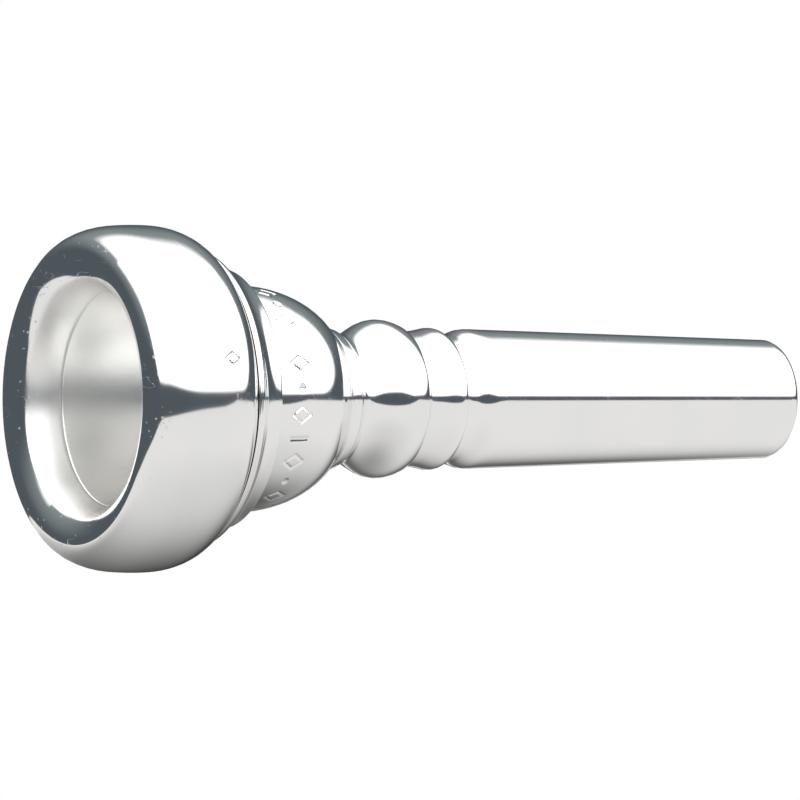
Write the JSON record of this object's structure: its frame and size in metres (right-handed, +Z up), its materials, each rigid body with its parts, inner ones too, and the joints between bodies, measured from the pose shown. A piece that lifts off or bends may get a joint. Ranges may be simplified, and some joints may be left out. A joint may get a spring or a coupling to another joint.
{
  "type": "brass instrument mouthpiece",
  "caption": "Short silver-plated brass mouthpiece with a screw-on rim, a cup with a bulb and collar, and a beaded tapered shank that screws off.",
  "frame": {"origin": "middle of the length, straight below the turned axis, at the height of the barrel's lowest point", "axes": "+X along the turned axis from the rim's face to the shank's end, +Z up, so the mouthpiece lies with its axis level"},
  "size_m": [0.065, 0.027, 0.027],
  "materials": {
    "rim_silver": "polished silver plate over brass",
    "cup_silver": "polished silver plate over brass",
    "shank_silver": "polished silver plate over brass"
  },
  "bodies": {
    "cup_body": {"cup": "cup_silver"},
    "rim_body": {"screw_rim": "rim_silver"},
    "shank_body": {"backbore_shank": "shank_silver"}
  },
  "joints": [
    {"name": "rim_unscrew", "type": "slide", "parent": "cup_body", "child": "rim_body", "axis": [-1, 0, 0], "range_m": [0, 0.009]},
    {"name": "shank_unscrew", "type": "slide", "parent": "cup_body", "child": "shank_body", "axis": [1, 0, 0], "range_m": [0, 0.008]}
  ]
}
